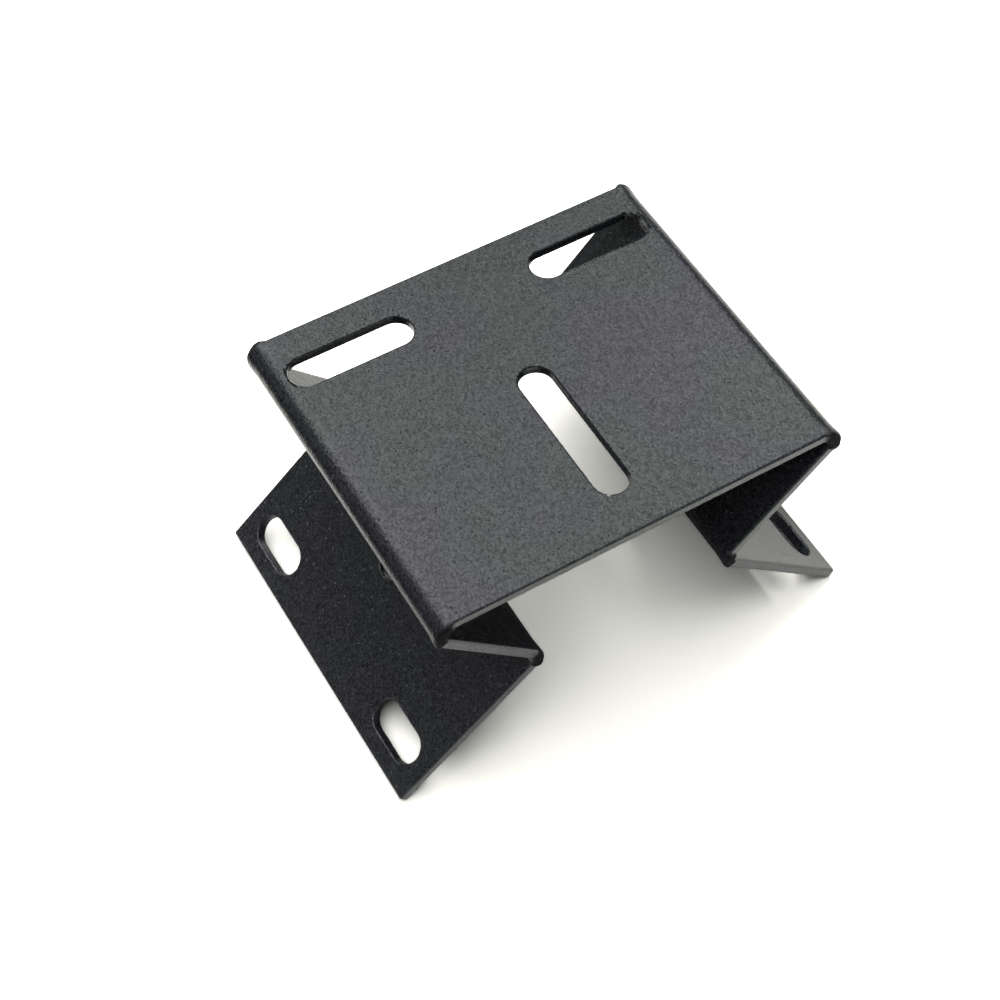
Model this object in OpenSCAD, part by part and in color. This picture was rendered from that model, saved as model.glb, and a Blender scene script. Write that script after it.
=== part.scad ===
// Camera bracket for the outside corner of a wall or a square post.
// It is one sheet of steel: a camera plate on top, a web folded back under it
// at each side, and a foot folded outwards from each web. The fold lines run
// along Y, and the two feet slope down to the sides to lie on the two walls.

/* [Sheet] */
// Thickness of the steel with its powder coat
sheet_t = 2.2; // [1.2:0.1:3]
// Inside radius of every fold
fold_r = 1.6; // [0.8:0.1:3]
// How far the squeezed metal swells out at each end of a fold
fold_swell = 0.4; // [0.1:0.05:0.6]
// Length of the sheet along the fold lines
sheet_d = 66.5; // [60:0.5:90]

/* [Camera plate] */
// Width of the plate over its two folds
plate_w = 80; // [72:1:110]
// Width of the three slots for the camera screws
camera_slot_w = 6.5; // [4:0.1:8]
// Overall length of each slot across the plate
cross_slot_l = 24.2; // [12:0.1:27]
// Distance from the plate's side to the outer end of the slot across it
cross_slot_side = 3.4; // [3:0.1:6]
// Distance from the plate's rear edge to the middle of the slots across it
cross_slot_rear = 9.7; // [7:0.1:14]
// Overall length of the slot along the middle of the plate
centre_slot_l = 30; // [12:0.5:32]
// Distance from the plate's front edge to the front end of the centre slot
centre_slot_front = 8; // [4:0.5:10]

/* [Webs] */
// Angle through which each web is folded back under the plate
web_fold = 133; // [125:1:140]
// Flat length of each web between its two folds
web_l = 25.5; // [18:0.1:32]

/* [Feet] */
// Angle through which each foot is folded out again from its web
foot_fold = 90; // [80:1:100]
// Flat length of each foot from its fold to its outer edge
foot_l = 36.3; // [32:0.1:50]
// Width of the two wall screw slots in each foot
wall_slot_w = 6.4; // [4:0.1:8]
// Overall length of each wall screw slot
wall_slot_l = 13; // [9:0.5:18]
// Distance from the foot's outer edge to the middle of its slots
wall_slot_edge = 7; // [6:0.1:10]
// Distance from each end of the foot to the middle of the nearest slot
wall_slot_end = 10.1; // [10:0.1:12]
// Diameter of the third wall screw hole, beside the fold
wall_hole_d = 6.5; // [4:0.1:8]
// Distance from the fold to the middle of the third hole
wall_hole_fold = 10.6; // [6:0.1:12]
// Distance from the sheet's front edge to the middle of the third hole
wall_hole_front = 34.7; // [30:0.1:36]

/* [Hidden] */
$fn = 96;

// The bracket is drawn standing on its rear edges and turned upright at the end:
// X runs across it, Y up out of the plate, and Z along the folds to its front.
// The sheet is followed from the middle of the plate out to each side. At every
// step X points on along the sheet, Y out of its outer surface, and that surface
// lies at Y = 0.
fold_outer_r = fold_r + sheet_t;
plate_flat_w = plate_w - 2 * fold_outer_r;
foot_slope = web_fold - foot_fold;
// Radius of the bead at a fold's ends, just under half the sheet's thickness
bead_r = 0.45 * sheet_t;

// Height of the plate's upper surface over the feet's lowest edges
upper_fold_drop = fold_outer_r * (1 - cos(web_fold));
web_drop = web_l * sin(web_fold);
lower_fold_drop = fold_r * (cos(foot_slope) - cos(web_fold));
foot_drop = foot_l * sin(foot_slope) + sheet_t * cos(foot_slope);
bracket_h = upper_fold_drop + web_drop + lower_fold_drop + foot_drop;

// Length by which a cutter stands out of the metal that it cuts
cut_past = 1;

// Places what follows at the far end of a flat stretch of length l
module after_flat(l) {
    translate([l, 0])
        children();
}

// Places what follows behind a fold to the inner side, through an angle
module after_fold_down(angle) {
    translate([0, -fold_outer_r])
        rotate(-angle)
            translate([0, fold_outer_r])
                children();
}

// Places what follows behind a fold to the outer side, through an angle
module after_fold_up(angle) {
    translate([0, fold_r])
        rotate(angle)
            translate([0, -fold_r])
                children();
}

// Places what follows at the start of a foot's flat
module at_foot() {
    after_flat(plate_flat_w / 2)
        after_fold_down(web_fold)
            after_flat(web_l)
                after_fold_up(foot_fold)
                    children();
}

// Section of a flat stretch of length l
module flat_section(l) {
    translate([0, -sheet_t])
        square([l, sheet_t]);
}

// Section of a fold: the part of a ring of sheet between the line where the fold
// starts and the line, turned about the ring's middle, where it ends
module fold_section(turn) {
    reach = fold_outer_r + cut_past;
    intersection() {
        difference() {
            circle(r = fold_outer_r);
            circle(r = fold_r);
        }
        translate([0, -reach])
            square([reach, 2 * reach]);
        rotate(turn)
            translate([-reach, -reach])
                square([reach, 2 * reach]);
    }
}

// Section of one side of the sheet, from the middle of the plate to the foot's edge
module side_section() {
    flat_section(plate_flat_w / 2);
    after_flat(plate_flat_w / 2) {
        translate([0, -fold_outer_r])
            fold_section(-web_fold);
        after_fold_down(web_fold) {
            flat_section(web_l);
            after_flat(web_l)
                translate([0, fold_r])
                    fold_section(foot_fold);
        }
    }
    at_foot()
        flat_section(foot_l);
}

// A bead round each end of a fold, where the metal that it squeezes out has
// swollen, over an angle from the direction of start onwards
module fold_beads(start, angle) {
    for (end = [-1, 1])
        rotate(start)
            rotate_extrude(angle = angle)
                translate([fold_r + sheet_t / 2, end * (sheet_d / 2 + fold_swell - bead_r)])
                    circle(r = bead_r);
}

// The beads of one side's two folds
module side_beads() {
    after_flat(plate_flat_w / 2) {
        translate([0, -fold_outer_r])
            fold_beads(90 - web_fold, web_fold);
        after_fold_down(web_fold)
            after_flat(web_l)
                translate([0, fold_r])
                    fold_beads(-90, foot_fold);
    }
}

// A cutter for a slot of overall length l and width w, along X, round at both ends
module slot_cutter(l, w) {
    straight = l - w;
    rotate([90, 0, 0])
        translate([0, 0, -cut_past]) {
            for (end = [-1, 1])
                translate([end * straight / 2, 0, 0])
                    cylinder(h = sheet_t + 2 * cut_past, d = w);
            translate([-straight / 2, -w / 2, 0])
                cube([straight, w, sheet_t + 2 * cut_past]);
        }
}

// The cutters for a foot's wall screws: two slots along its outer edge and a
// round hole beside its fold
module wall_openings() {
    slot_z = sheet_d / 2 - wall_slot_end;
    for (end = [-1, 1])
        translate([foot_l - wall_slot_edge, 0, end * slot_z])
            rotate([0, 90, 0])
                slot_cutter(wall_slot_l, wall_slot_w);
    translate([wall_hole_fold, 0, sheet_d / 2 - wall_hole_front])
        rotate([90, 0, 0])
            translate([0, 0, -cut_past])
                cylinder(h = sheet_t + 2 * cut_past, d = wall_hole_d);
}

// The cutters for the plate's three slots, for a camera base with three screws
module camera_openings() {
    cross_x = plate_w / 2 - cross_slot_side - cross_slot_l / 2;
    for (hand = [-1, 1])
        translate([hand * cross_x, 0, cross_slot_rear - sheet_d / 2])
            slot_cutter(cross_slot_l, camera_slot_w);
    translate([0, 0, sheet_d / 2 - centre_slot_front - centre_slot_l / 2])
        rotate([0, 90, 0])
            slot_cutter(centre_slot_l, camera_slot_w);
}

// Draws what follows on the right side and its mirror image on the left
module both_sides() {
    children();
    mirror([1, 0, 0])
        children();
}

module bracket() {
    color("#3c3f41")
        translate([0, 0, bracket_h])
            rotate([90, 0, 0])
                difference() {
                    union() {
                        linear_extrude(sheet_d, center = true)
                            both_sides()
                                side_section();
                        both_sides()
                            side_beads();
                    }
                    camera_openings();
                    both_sides()
                        at_foot()
                            wall_openings();
                }
}

bracket();
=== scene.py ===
# %% [markdown]
# # A folded camera bracket
#
# The real bracket is one sheet of steel. It is cut flat by a laser, folded four times on a
# press brake and powder coated black: a camera plate on top, a web folded back under it at each
# side, and a foot folded out again from each web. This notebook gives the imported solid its
# looks. The solid has square cut edges, and the coat rounds every edge of the real one, so the
# visible piece is modelled again here, fold by fold, to the same sizes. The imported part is
# loaded first, and its box is measured before anything is added.

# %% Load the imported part
from math import atan2, copysign, cos, pi, radians, sin

import bmesh
import bpy
from mathutils import Matrix, Vector, noise


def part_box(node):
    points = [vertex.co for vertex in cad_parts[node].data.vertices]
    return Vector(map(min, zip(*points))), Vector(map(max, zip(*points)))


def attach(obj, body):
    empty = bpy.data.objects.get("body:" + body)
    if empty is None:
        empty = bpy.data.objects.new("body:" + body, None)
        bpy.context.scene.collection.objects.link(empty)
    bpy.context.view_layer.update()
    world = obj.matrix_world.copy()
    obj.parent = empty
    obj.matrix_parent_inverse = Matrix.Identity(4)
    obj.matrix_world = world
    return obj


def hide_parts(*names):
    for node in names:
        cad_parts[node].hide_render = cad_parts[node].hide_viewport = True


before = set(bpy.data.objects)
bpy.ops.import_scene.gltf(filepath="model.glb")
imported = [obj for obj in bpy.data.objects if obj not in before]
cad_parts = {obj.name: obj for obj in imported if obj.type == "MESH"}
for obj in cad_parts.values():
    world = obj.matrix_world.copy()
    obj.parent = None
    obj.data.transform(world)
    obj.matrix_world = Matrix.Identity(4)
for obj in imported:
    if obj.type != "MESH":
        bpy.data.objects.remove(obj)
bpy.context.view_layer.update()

# %% [markdown]
# ## Sizes
#
# The sizes are those of the folded part, in millimetres, turned to metres by one factor. Its
# height isn't among them: it follows from the folds, and the frame's box gives it.

# %% Sizes of the sheet
MM = 0.001
SHEET_T = 2.2 * MM
SHEET_D = 66.5 * MM
PLATE_W = 80 * MM
FOLD_R = 1.6 * MM
WEB_FOLD = radians(133)
WEB_L = 25.5 * MM
FOOT_FOLD = radians(90)
FOOT_L = 36.3 * MM

fold_outer_r = FOLD_R + SHEET_T
plate_flat = PLATE_W / 2 - fold_outer_r
half_d = SHEET_D / 2
plate_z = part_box("bracket")[1].z
print("plate's upper face at", round(plate_z / MM, 3), "mm")

# %% [markdown]
# ## The sheet's section
#
# Seen from its front end the bracket is a thin ribbon. A short line of edges through the sheet's
# thickness is drawn out along each flat and spun round each fold, the way the sheet passes
# through the brake. The line has a few layers, because the fold ends get a swollen form later.
# Every fold's centre is noted on the way, for that same reason.

# %% Steps that follow a flat and a fold
# Facets round each fold
FOLD_STEPS = 32


def along(turned):
    """The way that the sheet runs on once it has turned about Y."""
    return Vector((cos(turned), 0, -sin(turned)))


def outward(turned):
    """The way out of the sheet's outer surface."""
    return Vector((sin(turned), 0, cos(turned)))


def run_flat(bm, line, turned, length):
    """Draws the line of edges out along the sheet, and returns the new line."""
    made = bmesh.ops.extrude_edge_only(bm, edges=line)["geom"]
    ends = {g for g in made if isinstance(g, bmesh.types.BMVert)}
    bmesh.ops.translate(bm, verts=list(ends), vec=along(turned) * length)
    return [g for g in made if isinstance(g, bmesh.types.BMEdge) and ends.issuperset(g.verts)]


def run_fold(bm, line, centre, angle):
    """Spins the line of edges round a fold's centre, and returns the new line."""
    geom = list({v for e in line for v in e.verts}) + line
    swept = bmesh.ops.spin(
        bm, geom=geom, cent=centre, axis=(0, 1, 0), angle=angle, steps=FOLD_STEPS
    )
    return [g for g in swept["geom_last"] if isinstance(g, bmesh.types.BMEdge)]


print("a web's outer side faces", [round(c, 3) for c in outward(WEB_FOLD)])

# %% Follow the section from the plate's middle to the foot's edge
# Layers through the sheet's thickness
LAYERS = 4

sheet = bmesh.new()
levels = [plate_z - SHEET_T * i / LAYERS for i in range(LAYERS + 1)]
verts = [sheet.verts.new((0, -half_d, z)) for z in levels]
line = [sheet.edges.new(pair) for pair in zip(verts, verts[1:])]

line = run_flat(sheet, line, 0, plate_flat)
plate_end = Vector((plate_flat, -half_d, plate_z))
upper_centre = plate_end - outward(0) * fold_outer_r
line = run_fold(sheet, line, upper_centre, WEB_FOLD)

web_start = upper_centre + outward(WEB_FOLD) * fold_outer_r
line = run_flat(sheet, line, WEB_FOLD, WEB_L)
web_end = web_start + along(WEB_FOLD) * WEB_L
lower_centre = web_end + outward(WEB_FOLD) * FOLD_R
line = run_fold(sheet, line, lower_centre, -FOOT_FOLD)

slope = WEB_FOLD - FOOT_FOLD
foot_start = lower_centre - outward(slope) * FOLD_R
line = run_flat(sheet, line, slope, FOOT_L)
print("section's lowest point at", round(min(v.co.z for v in sheet.verts) / MM, 4), "mm")

# %% [markdown]
# ## From section to sheet
#
# The left side mirrors the right one, so the ribbon is mirrored before it gets its length. The
# edges where the two halves meet are dissolved, which leaves the plate one clean face. One
# extrusion along the folds then makes a closed solid.

# %% Mirror the ribbon and extrude it along the folds
# Vertices nearer to each other than this are one
MERGE = 0.001 * MM

bmesh.ops.mirror(
    sheet, geom=sheet.verts[:] + sheet.edges[:] + sheet.faces[:], axis="X", merge_dist=MERGE
)
bmesh.ops.remove_doubles(sheet, verts=sheet.verts, dist=MERGE)
middle = [e for e in sheet.edges if all(abs(v.co.x) < MERGE for v in e.verts)]
bmesh.ops.dissolve_edges(sheet, edges=middle, use_verts=True)
grown = bmesh.ops.extrude_face_region(sheet, geom=sheet.faces[:])["geom"]
rear = [g for g in grown if isinstance(g, bmesh.types.BMVert)]
bmesh.ops.translate(sheet, verts=rear, vec=(0, SHEET_D, 0))
bmesh.ops.recalc_face_normals(sheet, faces=sheet.faces)
print("sheet:", len(sheet.faces), "faces, closed:", all(e.is_manifold for e in sheet.edges))

# %% [markdown]
# ## Slots and holes
#
# The laser cuts the openings straight through the flat sheet: three slots for the camera's
# screws, and two slots and a round hole for wall screws in each foot. A slot's cutter starts as
# a circle whose two halves are pushed apart, so its ends stay true half circles. All cutters go
# into one mesh, so that one boolean can take them out of the sheet.

# %% Sizes of the openings
CAMERA_SLOT_W = 6.5 * MM
CROSS_SLOT_L = 24.2 * MM
CROSS_SLOT_SIDE = 3.4 * MM
CROSS_SLOT_REAR = 9.7 * MM
CENTRE_SLOT_L = 30 * MM
CENTRE_SLOT_FRONT = 8 * MM
WALL_SLOT_W = 6.4 * MM
WALL_SLOT_L = 13 * MM
WALL_SLOT_EDGE = 7 * MM
WALL_SLOT_END = 10.1 * MM
WALL_HOLE_D = 6.5 * MM
WALL_HOLE_FOLD = 10.6 * MM
WALL_HOLE_FRONT = 34.7 * MM

cross_x = PLATE_W / 2 - CROSS_SLOT_SIDE - CROSS_SLOT_L / 2
cross_y = half_d - CROSS_SLOT_REAR
centre_y = CENTRE_SLOT_FRONT + CENTRE_SLOT_L / 2 - half_d
wall_slot_y = half_d - WALL_SLOT_END
wall_hole_y = WALL_HOLE_FRONT - half_d
print("cross slots at", round(cross_x / MM, 2), "and", round(cross_y / MM, 2), "mm")

# %% Steps that make and place a cutter
# Facets round a whole circle
ROUND_STEPS = 72
# How far a cutter reaches to either side of the sheet's outer surface
CUT_REACH = 2 * SHEET_T


def add_cutter(bm, length, width, place):
    """Adds a slot-shaped prism along local X, through the local plane Z = 0."""
    # Turned by half a step, the circle has no vertex between its two halves.
    half_step = Matrix.Rotation(pi / ROUND_STEPS, 4, "Z")
    rim = bmesh.ops.create_circle(
        bm, cap_ends=True, segments=ROUND_STEPS, radius=width / 2, matrix=half_step
    )["verts"]
    for v in rim:
        v.co += Vector((copysign((length - width) / 2, v.co.x), 0, -CUT_REACH))
    grown = bmesh.ops.extrude_face_region(bm, geom=rim[0].link_faces[:])["geom"]
    top = [g for g in grown if isinstance(g, bmesh.types.BMVert)]
    bmesh.ops.translate(bm, verts=top, vec=(0, 0, 2 * CUT_REACH))
    bmesh.ops.transform(bm, matrix=place, verts=rim + top)


def on_plate(x, y, turn=0):
    """A place on the plate, with the cutter's X axis turned about Z."""
    return Matrix.Translation((x, y, plate_z)) @ Matrix.Rotation(turn, 4, "Z")


def on_foot(hand, distance, y):
    """A place on a foot, at a distance from its fold, with the cutter along Y."""
    tilt = Matrix.Rotation(slope, 4, "Y") @ Matrix.Rotation(pi / 2, 4, "Z")
    spot = foot_start + along(slope) * distance
    mirrored = Matrix.Diagonal((hand, 1, 1, 1))
    return mirrored @ Matrix.Translation((spot.x, y, spot.z)) @ tilt


print("each end of a slot has", ROUND_STEPS // 2, "facets")

# %% Place the cutters
cutters = bmesh.new()
add_cutter(cutters, CENTRE_SLOT_L, CAMERA_SLOT_W, on_plate(0, centre_y, pi / 2))
for hand in (1, -1):
    add_cutter(cutters, CROSS_SLOT_L, CAMERA_SLOT_W, on_plate(hand * cross_x, cross_y))
    add_cutter(cutters, WALL_HOLE_D, WALL_HOLE_D, on_foot(hand, WALL_HOLE_FOLD, wall_hole_y))
    for end in (1, -1):
        place = on_foot(hand, FOOT_L - WALL_SLOT_EDGE, end * wall_slot_y)
        add_cutter(cutters, WALL_SLOT_L, WALL_SLOT_W, place)
bmesh.ops.recalc_face_normals(cutters, faces=cutters.faces)
print("cutters:", len(cutters.faces), "faces, closed:", all(e.is_manifold for e in cutters.edges))

# %% [markdown]
# ## Dividing the sheet
#
# The two slots across the plate just reach into the folds. Left alone, the long facets of a fold
# would get one odd shape from end to end there, and the shading would show it as a thin line. So
# the sheet is first divided straight across, in a few steps beside those slots. It is also
# divided near its two ends, where the folds grow a knob later and need vertices for it.

# %% Divide the sheet straight across
# How far past a slot's sides the divisions go, and their number from its middle to there
DIVIDE_PAST = 0.8 * MM
DIVIDES = 3
# How far in from the sheet's ends the knobs reach
KNOB_REACH = 3 * MM

divide_reach = CAMERA_SLOT_W / 2 + DIVIDE_PAST
divides = [cross_y + divide_reach * step / DIVIDES for step in range(-DIVIDES, DIVIDES + 1)]
for side in (1, -1):
    divides += [side * (half_d - KNOB_REACH), side * (half_d - KNOB_REACH / 2)]
for y in divides:
    bmesh.ops.bisect_plane(
        sheet,
        geom=sheet.verts[:] + sheet.edges[:] + sheet.faces[:],
        plane_co=(0, y, 0),
        plane_no=(0, 1, 0),
    )
print("sheet:", len(sheet.faces), "faces, with", len(divides), "divisions")

# %% [markdown]
# ## Cutting
#
# A boolean modifier takes the cutters out of the sheet. Its result is read from the evaluated
# object, so it needs no edit mode and no selection. The exact solver is slower than the fast
# one, but it leaves a closed mesh where a cutter just touches the facets of a fold.

# %% Cut the openings out of the sheet


def new_object(name, bm):
    """Makes an object of a bmesh, which it frees."""
    mesh = bpy.data.meshes.new(name)
    bm.to_mesh(mesh)
    bm.free()
    made = bpy.data.objects.new(name, mesh)
    bpy.context.scene.collection.objects.link(made)
    return made


def cut_out(target, name, bm):
    """Takes the cutters in a bmesh out of an object."""
    cutter = new_object(name, bm)
    cut = target.modifiers.new(name, "BOOLEAN")
    cut.operation = "DIFFERENCE"
    cut.solver = "EXACT"
    cut.object = cutter
    shown = target.evaluated_get(bpy.context.evaluated_depsgraph_get())
    cut_mesh = bpy.data.meshes.new_from_object(shown)
    target.modifiers.clear()
    target.data = cut_mesh
    bpy.data.objects.remove(cutter)


bracket = new_object("folded_bracket", sheet)
cut_out(bracket, "openings", cutters)
print("cut sheet:", len(bracket.data.polygons), "faces")

# %% [markdown]
# ## Edges rounded by the coat
#
# Powder melts into a skin that draws back from sharp corners, so every cut edge ends with a
# radius of about half a millimetre. That thin band is what catches the light round the plate and
# the slots. A bevel on every edge sharper than the facets of a fold makes it.

# %% Bevel the sharp edges
EDGE_R = 0.5 * MM
EDGE_STEPS = 4
SHARP = radians(40)

bm = bmesh.new()
bm.from_mesh(bracket.data)
bmesh.ops.remove_doubles(bm, verts=bm.verts, dist=MERGE)
sharp = [e for e in bm.edges if e.is_manifold and e.calc_face_angle() > SHARP]
bmesh.ops.bevel(
    bm,
    geom=sharp,
    offset=EDGE_R,
    offset_type="OFFSET",
    affect="EDGES",
    segments=EDGE_STEPS,
    profile=0.5,
    material=-1,
    loop_slide=True,
    clamp_overlap=False,
)
print("rounded", len(sharp), "edges, closed:", all(e.is_manifold for e in bm.edges))
bm.to_mesh(bracket.data)
bm.free()

# %% [markdown]
# ## Nicks in the slots
#
# Where the laser starts a cut it burns a small nick into the rim, and two of them show in the
# plate's slots. Their radius is smaller than the coat's, so a bevel would run over itself there.
# They are cut after the rounding instead, and keep sharp edges.

# %% Cut the nicks
# Each nick's place on the plate and its radius, in millimetres
NICKS = (((-2.05, -24.85), 0.4), ((34.3, 26.8), 0.4))

nicks = bmesh.new()
for (x, y), radius in NICKS:
    add_cutter(nicks, 2 * radius * MM, 2 * radius * MM, on_plate(x * MM, y * MM))
bmesh.ops.recalc_face_normals(nicks, faces=nicks.faces)
cut_out(bracket, "nicks", nicks)
print("with the nicks:", len(bracket.data.polygons), "faces")

# %% [markdown]
# ## Fold ends
#
# A press brake squeezes the inside of a fold and stretches its outside. At the open ends the
# squeezed metal has nowhere to go but out, so each fold ends in a torn lump that stands proud of
# the sheet's cut edge, more at the rear than at the front, and most of all near the inner
# radius. Over its last few millimetres the fold also grows away from its centre, to a slight
# knob. The vertices there are moved by a formula of their place in the fold, with some noise for
# the tearing. How torn each one is gets kept as an attribute. The coat is rougher on these
# lumps, and the same attribute paints shade on them: a darker colour and a weaker gloss.

# %% Find a point's place in a fold
# Each fold's centre, the way from there to the fold's start, and its angle
upper = (upper_centre, outward(0), WEB_FOLD)
lower = (lower_centre, -outward(WEB_FOLD), -FOOT_FOLD)


def place_in_fold(co, centre, start, angle):
    """The arm from a fold's centre to a point, and the point's share of the way round the
    fold and of the way from its inside to its outside. The left side counts as the right."""
    arm = Vector((abs(co.x) - centre.x, 0, co.z - centre.z))
    ahead = Vector((start.z, 0, -start.x)) * copysign(1, angle)
    turned = atan2(arm.dot(ahead), arm.dot(start))
    return arm, turned / abs(angle), (arm.length - FOLD_R) / SHEET_T


def smoothstep(low, high, value):
    """0 below low, 1 above high, and a smooth rise between."""
    share = min(max((value - low) / (high - low), 0), 1)
    return share * share * (3 - 2 * share)


half_way = upper_centre + outward(WEB_FOLD / 2)
print("half way round the upper fold:", round(place_in_fold(half_way, *upper)[1], 3))

# %% Swell the ends of the folds
# How far the metal stands out at the front and the rear, and how much more on the inside
FRONT_SWELL = 0.35 * MM
REAR_SWELL = 0.65 * MM
INNER_SWELL = 0.1 * MM
# Share of the way round a fold over which its lump rises, and over which it falls again
SWELL_RISE = 0.18
# How far a knob grows away from the fold's centre
KNOB = 0.22 * MM
# Depth of the tears and distance between them
TEAR = 0.12 * MM
TEAR_GRAIN = 0.7 * MM
# How far out of a fold a point may be, as a share of the fold, and still count as in it
MARGIN = 0.01

bm = bmesh.new()
bm.from_mesh(bracket.data)
torn = bm.verts.layers.float.new("torn")
moved = 0
for v in bm.verts:
    to_end = half_d - abs(v.co.y)
    if to_end > KNOB_REACH - MERGE:
        continue
    for fold in (upper, lower):
        arm, way_round, way_out = place_in_fold(v.co, *fold)
        if all(-MARGIN < way < 1 + MARGIN for way in (way_round, way_out)):
            rise = smoothstep(0, SWELL_RISE, min(way_round, 1 - way_round))
            near_end = max(1 - to_end / EDGE_R, 0)
            lump = (REAR_SWELL if v.co.y > 0 else FRONT_SWELL) + INNER_SWELL * (1 - way_out)
            lump += TEAR * noise.noise(v.co / TEAR_GRAIN)
            knob = KNOB * way_out * rise * (1 - smoothstep(0, KNOB_REACH, to_end))
            arm.normalize()
            v.co.x += copysign(1, v.co.x) * arm.x * knob
            v.co.z += arm.z * knob
            v.co.y += copysign(near_end * rise * lump, v.co.y)
            v[torn] = near_end * rise
            moved += 1
            break
print("moved", moved, "vertices at the fold ends")

# %% [markdown]
# ## Smooth shading
#
# The steel has no facets, so every face is shaded smooth, which blends the normals of faces that
# meet. A weighted normal modifier gives the large faces the last word. The flats then stay flat
# right up to their rounded edges.

# %% Finish the piece's mesh
for f in bm.faces:
    f.smooth = True
bm.to_mesh(bracket.data)
bm.free()
even = bracket.modifiers.new("even shading", "WEIGHTED_NORMAL")
even.mode = "FACE_AREA"
even.weight = 100
print("bracket:", len(bracket.data.polygons), "faces")

# %% [markdown]
# ## Helpers for materials
#
# Colours are written as the hex values that a screen shows, and one function turns them to the
# linear values that the renderer works in. Another adds a node with its settings and links. The
# last one starts a material with nothing in it but its output.

# %% Colour and node helpers
# A Mix node has inputs and a result for each kind of value under the same names, so they are
# found by their numbers. So are a Math node's inputs, which all have one name.
COLOUR_A, COLOUR_B, COLOUR_RESULT = 6, 7, 2
VALUE_A, VALUE_B, VALUE_RESULT = 2, 3, 0


def linear(hex_colour):
    """The linear colour of an sRGB hex value, with its alpha."""
    parts = [int(hex_colour[i : i + 2], 16) / 255 for i in (1, 3, 5)]
    return [c / 12.92 if c <= 0.04045 else ((c + 0.055) / 1.055) ** 2.4 for c in parts] + [1]


def add_node(tree, kind, inputs=None, **settings):
    """Adds a node; an input is a value, or another node's output to link from."""
    node = tree.nodes.new(kind)
    for name, value in settings.items():
        setattr(node, name, value)
    for name, value in (inputs or {}).items():
        if isinstance(value, bpy.types.NodeSocket):
            tree.links.new(value, node.inputs[name])
        else:
            node.inputs[name].default_value = value
    return node


def new_material(name):
    """An empty node material, its tree and its output node."""
    material = bpy.data.materials.new(name)
    material.use_nodes = True
    material.node_tree.nodes.clear()
    return material, material.node_tree, add_node(material.node_tree, "ShaderNodeOutputMaterial")


print("the grey #808080 is", round(linear("#808080")[0], 3), "in linear light")

# %% [markdown]
# ## Relief of the fine texture powder coat
#
# The coat is a black polyester powder, sprayed dry and melted in an oven. It cures to a fine
# texture: grains on wider swells, with a few pinholes where gas came out. On the torn fold ends
# it is rough. All this is too fine for the mesh, so it is bump, a height that only bends the
# light. The patterns follow the piece's own coordinates, in real sizes. The finest grains of the
# real coat would be lost in the picture, so they are drawn as coarse as the picture needs, a
# third of a millimetre or about two pixels, and so are the pinholes.

# %% Grains, swells and torn metal
# The real grains are finer, and these are as coarse as the picture needs
GRAIN = 0.34 * MM
SWELL = 1.3 * MM
TORN_GRAIN = 0.6 * MM

coat, tree, output = new_material("black_powder_coat")
point = add_node(tree, "ShaderNodeTexCoord").outputs["Object"]
# Where the fold ends are torn: rougher relief there, and painted shade in their colour and gloss
torn_and_shaded_ends = add_node(tree, "ShaderNodeAttribute", attribute_name="torn").outputs["Fac"]
grains = add_node(tree, "ShaderNodeTexVoronoi", {"Vector": point, "Scale": 1 / GRAIN}).outputs
swells = add_node(
    tree, "ShaderNodeTexNoise", {"Vector": point, "Scale": 1 / SWELL, "Detail": 1.0}
).outputs["Fac"]
torn_grain = add_node(
    tree, "ShaderNodeTexNoise", {"Vector": point, "Scale": 1 / TORN_GRAIN, "Detail": 2.0}
).outputs["Fac"]
torn_relief = add_node(
    tree, "ShaderNodeMath", {0: torn_grain, 1: torn_and_shaded_ends}, operation="MULTIPLY"
).outputs["Value"]
print("patterns:", len(tree.nodes), "nodes")

# %% Pinholes
PIT_SPACING = 0.9 * MM
# Depth in millimetres
PIT_DEPTH = 0.09
# Where a pinhole's wall begins and ends, as shares of the spacing
PIT_BOTTOM = 0.04
PIT_RIM = 0.26
# A cell whose random grey is below the first has no pinhole, above the second a full one
PIT_CHOICE = (0.5, 0.75)

to_pit = add_node(
    tree, "ShaderNodeTexVoronoi", {"Vector": point, "Scale": 1 / PIT_SPACING}
).outputs
hollow = add_node(
    tree,
    "ShaderNodeMapRange",
    {
        "Value": to_pit["Distance"],
        "From Min": PIT_BOTTOM,
        "From Max": PIT_RIM,
        "To Min": -PIT_DEPTH,
        "To Max": 0.0,
    },
    interpolation_type="SMOOTHSTEP",
).outputs["Result"]
chosen = add_node(
    tree,
    "ShaderNodeMapRange",
    {"Value": to_pit["Color"], "From Min": PIT_CHOICE[0], "From Max": PIT_CHOICE[1]},
).outputs["Result"]
pits = add_node(
    tree, "ShaderNodeMath", {0: hollow, 1: chosen}, operation="MULTIPLY"
).outputs["Value"]
print("pinholes up to", round(2 * PIT_RIM * PIT_SPACING / MM, 2), "mm wide")

# %% Sum of the relief
# Depths in millimetres
GRAIN_DEPTH = 0.042
SWELL_DEPTH = 0.05
TORN_DEPTH = 0.25

height = pits
for pattern, depth in (
    (grains["Distance"], GRAIN_DEPTH),
    (swells, SWELL_DEPTH),
    (torn_relief, TORN_DEPTH),
):
    height = add_node(
        tree, "ShaderNodeMath", {0: pattern, 1: depth, 2: height}, operation="MULTIPLY_ADD"
    ).outputs["Value"]
bump = add_node(
    tree, "ShaderNodeBump", {"Height": height, "Strength": 1.0, "Distance": MM}
).outputs["Normal"]
print("relief:", len(tree.nodes), "nodes")
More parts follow.
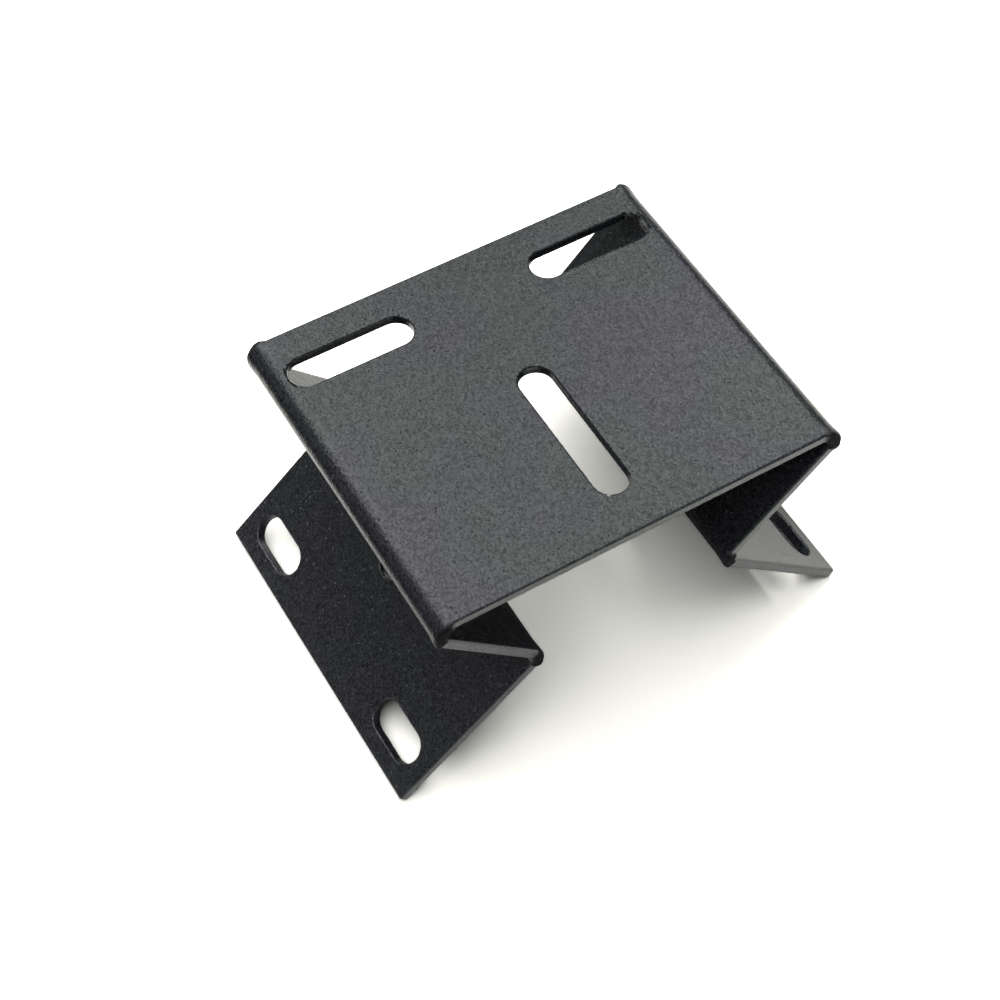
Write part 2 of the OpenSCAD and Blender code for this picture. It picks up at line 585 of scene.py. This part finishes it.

# %% [markdown]
# ## Colour and gloss of the coat
#
# The powder itself is nearly black. The greys that the eye sees are its satin gloss, which
# mirrors the soft lamps and the white sheet, most of all at a flat angle. Relief alone shows
# only where the mirrored light changes fast, and over the flat plate it hardly does. So every
# grain also has a gloss and a shade of its own: the differences in gloss show where the coat
# mirrors the lamp, and those in shade where it mirrors the dark room. Wide patches turn the
# gloss slightly green or blue. The torn fold ends are rougher, and their darker colour and
# weaker gloss are painted shade.

# %% Tint, roughness and strength of the gloss
GLOSS_GREEN = "#f1fff2"
GLOSS_BLUE = "#f8f8ff"
PATCHES = 22 * MM
# The patch noise below the first is all green, above the second all blue
PATCH_RANGE = (0.4, 0.6)
GLOSS_ROUGHNESS = 0.27
TORN_ROUGHNESS = 0.7
# Gloss of the dullest and of the brightest grain
GRAIN_GLOSS = (0.26, 0.58)
# Gloss on the torn fold ends, turned down as painted shade
TORN_SHADE_GLOSS = 0.05

patches = add_node(
    tree, "ShaderNodeTexNoise", {"Vector": point, "Scale": 1 / PATCHES, "Detail": 1.0}
).outputs["Fac"]
patches = add_node(
    tree,
    "ShaderNodeMapRange",
    {"Value": patches, "From Min": PATCH_RANGE[0], "From Max": PATCH_RANGE[1]},
).outputs["Result"]
tint = add_node(
    tree,
    "ShaderNodeMix",
    {"Factor": patches, COLOUR_A: linear(GLOSS_GREEN), COLOUR_B: linear(GLOSS_BLUE)},
    data_type="RGBA",
).outputs[COLOUR_RESULT]
roughness = add_node(
    tree,
    "ShaderNodeMapRange",
    {"Value": torn_and_shaded_ends, "To Min": GLOSS_ROUGHNESS, "To Max": TORN_ROUGHNESS},
).outputs["Result"]
gloss = add_node(
    tree,
    "ShaderNodeMapRange",
    {"Value": grains["Color"], "To Min": GRAIN_GLOSS[0], "To Max": GRAIN_GLOSS[1]},
).outputs["Result"]
# On the torn fold ends the gloss falls to a painted shade
gloss = add_node(
    tree, "ShaderNodeMapRange", {"Value": torn_and_shaded_ends, "To Min": gloss, "To Max": TORN_SHADE_GLOSS}
).outputs["Result"]
print("gloss of a grain from", GRAIN_GLOSS[0], "to", GRAIN_GLOSS[1])

# %% Shades of black, and the shader
DARKEST_GRAIN = "#0b0b0e"
PALEST_GRAIN = "#31333a"
# Colour of the torn fold ends: painted shade, darker than the coat
TORN_SHADE_BLACK = "#08080a"
# Index of refraction of polyester
COAT_IOR = 1.6

colour = add_node(
    tree,
    "ShaderNodeMix",
    {"Factor": grains["Color"], COLOUR_A: linear(DARKEST_GRAIN), COLOUR_B: linear(PALEST_GRAIN)},
    data_type="RGBA",
).outputs[COLOUR_RESULT]
# On the torn fold ends the colour turns to a painted shade
colour = add_node(
    tree,
    "ShaderNodeMix",
    {"Factor": torn_and_shaded_ends, COLOUR_A: colour, COLOUR_B: linear(TORN_SHADE_BLACK)},
    data_type="RGBA",
).outputs[COLOUR_RESULT]
shader = add_node(
    tree,
    "ShaderNodeBsdfPrincipled",
    {
        "Base Color": colour,
        "Roughness": roughness,
        "IOR": COAT_IOR,
        "Specular IOR Level": gloss,
        "Specular Tint": tint,
        "Normal": bump,
    },
)
tree.links.new(shader.outputs["BSDF"], output.inputs["Surface"])
bracket.data.materials.append(coat)
print("coat:", len(tree.nodes), "nodes")

# %% [markdown]
# ## In the frame
#
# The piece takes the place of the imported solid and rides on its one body.

# %% Put the piece in the frame
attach(bracket, "root")
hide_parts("bracket")
print(bracket.name, "stands in for the solid")

# %% [markdown]
# ## White sheet
#
# The bracket stands on a large sheet of white paper. In the photograph the paper is brighter
# than a picture can show, so the camera clips it to pure white. A colour above 1 on the camera's
# rays does the same. It scales the bracket's shadow with the paper, so the shadow stays, and it
# puts no more light on the bracket. Paper is never quite neutral, so the colour is a bit warm.

# %% Sheet, and its brightness for the camera
# Half the length of the sheet's side, in metres
SHEET_HALF = 0.7
PAPER_TINT = "#fffef7"
PAPER = 0.9
PAPER_SEEN = 2.15


def rays_seen(tree):
    """The Light Path's outputs, and 1 on rays that the camera sees straight or through glass."""
    rays = add_node(tree, "ShaderNodeLightPath").outputs
    seen = add_node(
        tree,
        "ShaderNodeMath",
        {0: rays["Is Camera Ray"], 1: rays["Is Transmission Ray"]},
        operation="MAXIMUM",
    ).outputs["Value"]
    return rays, seen


floor_mesh = bmesh.new()
bmesh.ops.create_grid(floor_mesh, x_segments=1, y_segments=1, size=SHEET_HALF)
floor = new_object("white_sheet", floor_mesh)

paper, tree, output = new_material("white_paper")
rays, seen = rays_seen(tree)
brightness = add_node(
    tree,
    "ShaderNodeMath",
    {0: seen, 1: PAPER_SEEN - PAPER, 2: PAPER},
    operation="MULTIPLY_ADD",
).outputs["Value"]
print("paper reflects", PAPER, "and shows as", PAPER_SEEN)

# %% [markdown]
# ## The sheet in the coat's gloss
#
# The coat mirrors the bright paper, and that is what makes the right foot so light. But the
# paper isn't bright everywhere. Round the bracket it lies in the bracket's shade, and at the left
# the real sheet seems to end, because the gloss mirrors a dark room there. Both are made on the
# rays from a gloss alone, by an ellipse round the bracket and a line to the left of it, so the
# camera still sees white paper there.

# %% Brightness in the gloss
PAPER_MIRRORED = 1.75
PAPER_UNDER = 0.25
# Half the depth of the ellipse where the shade begins to fade, and where it has gone
UNDER_EDGE = (36 * MM, 47 * MM)
# The ellipse's length from left to right, as a multiple of its depth
UNDER_WIDE = 1.4
# All dark to the left of the first, all paper to the right of the second
DARK_LEFT = (-95 * MM, -80 * MM)

point = add_node(tree, "ShaderNodeTexCoord").outputs["Object"]
narrowed = add_node(
    tree, "ShaderNodeVectorMath", {0: point, 1: (1 / UNDER_WIDE, 1, 1)}, operation="MULTIPLY"
).outputs["Vector"]
away = add_node(tree, "ShaderNodeVectorMath", {0: narrowed}, operation="LENGTH").outputs["Value"]
mirrored = add_node(
    tree,
    "ShaderNodeMapRange",
    {
        "Value": away,
        "From Min": UNDER_EDGE[0],
        "From Max": UNDER_EDGE[1],
        "To Min": PAPER_UNDER,
        "To Max": PAPER_MIRRORED,
    },
).outputs["Result"]
rightwards = add_node(tree, "ShaderNodeSeparateXYZ", {"Vector": point}).outputs["X"]
mirrored = add_node(
    tree,
    "ShaderNodeMapRange",
    {"Value": rightwards, "From Min": DARK_LEFT[0], "From Max": DARK_LEFT[1], "To Max": mirrored},
).outputs["Result"]
brightness = add_node(
    tree,
    "ShaderNodeMix",
    {"Factor": rays["Is Glossy Ray"], VALUE_A: brightness, VALUE_B: mirrored},
).outputs[VALUE_RESULT]
print("paper in the gloss:", PAPER_MIRRORED, "and", PAPER_UNDER, "under the bracket")

# %% The sheet's shader
colour = add_node(
    tree,
    "ShaderNodeVectorMath",
    {0: linear(PAPER_TINT)[:3], "Scale": brightness},
    operation="SCALE",
).outputs["Vector"]
diffuse = add_node(tree, "ShaderNodeBsdfDiffuse", {"Color": colour})
tree.links.new(diffuse.outputs["BSDF"], output.inputs["Surface"])
floor.data.materials.append(paper)
print("paper:", len(tree.nodes), "nodes")

# %% [markdown]
# ## Room
#
# The room round the sheet is dark: a bright one would turn the black gloss grey on every side,
# while the left foot and the left fold of the real bracket are nearly black. The gloss finds it
# a little lighter, as if pale walls stood far off. Only the camera sees the room white, so the
# picture has no edge where the sheet ends.

# %% Dark room, white for the camera
ROOM = 0.03
ROOM_MIRRORED = 0.2

world = bpy.data.worlds.new("white_studio")
bpy.context.scene.world = world
world.use_nodes = True
tree = world.node_tree
tree.nodes.clear()
rays, seen = rays_seen(tree)
strength = ROOM
for ray, level in ((seen, 1), (rays["Is Glossy Ray"], ROOM_MIRRORED)):
    strength = add_node(
        tree, "ShaderNodeMath", {0: ray, 1: level - ROOM, 2: strength}, operation="MULTIPLY_ADD"
    ).outputs["Value"]
room = add_node(tree, "ShaderNodeBackground", {"Color": linear("#ffffff"), "Strength": strength})
add_node(tree, "ShaderNodeOutputWorld", {"Surface": room.outputs["Background"]})
print("room:", ROOM, "and", ROOM_MIRRORED, "in the gloss")

# %% [markdown]
# ## Light
#
# Two soft lamps light the bracket. A very large one hangs over it, like a white ceiling. It is
# what the plate mirrors towards the camera, and its shadow is soft and stays under the plate,
# between the feet. A narrow one hangs further to the right, like a window in that ceiling, and
# draws the light line along the right fold.

# %% Lamps
# Each lamp's name, place, size and power
LAMPS = (
    ("ceiling", (-0.16, 0.4, 0.9), (1.12, 1.75), 14.6),
    ("window", (0.68, 0.5, 0.88), (0.08, 0.5), 2.4),
)

for name, spot, size, power in LAMPS:
    data = bpy.data.lights.new(name, "AREA")
    data.shape = "RECTANGLE"
    data.size, data.size_y = size
    data.energy = power
    lamp = bpy.data.objects.new(name, data)
    lamp.location = spot
    bpy.context.scene.collection.objects.link(lamp)
    print(name, power, "W over", size, "m")

# %% [markdown]
# ## Camera
#
# The camera looks down from the front left, at about 56 degrees, as in the photograph. Its place
# and lens come from matching the straight edges and slots of the plate and the feet.

# %% Camera
CAMERA_AT = Vector((-114.34, -171.29, 319.11)) * MM
CAMERA_TURN = [radians(a) for a in (34.434, -0.750, -30.774)]
LENS = 70.087

data = bpy.data.cameras.new("camera")
data.lens = LENS
data.sensor_width = 36
data.clip_start = 0.01
camera = bpy.data.objects.new("camera", data)
camera.location = CAMERA_AT
camera.rotation_euler = CAMERA_TURN
bpy.context.scene.collection.objects.link(camera)
bpy.context.scene.camera = camera
bpy.context.scene.view_settings.view_transform = "Standard"
print("camera", round(CAMERA_AT.length / MM), "mm from the origin, lens", LENS, "mm")
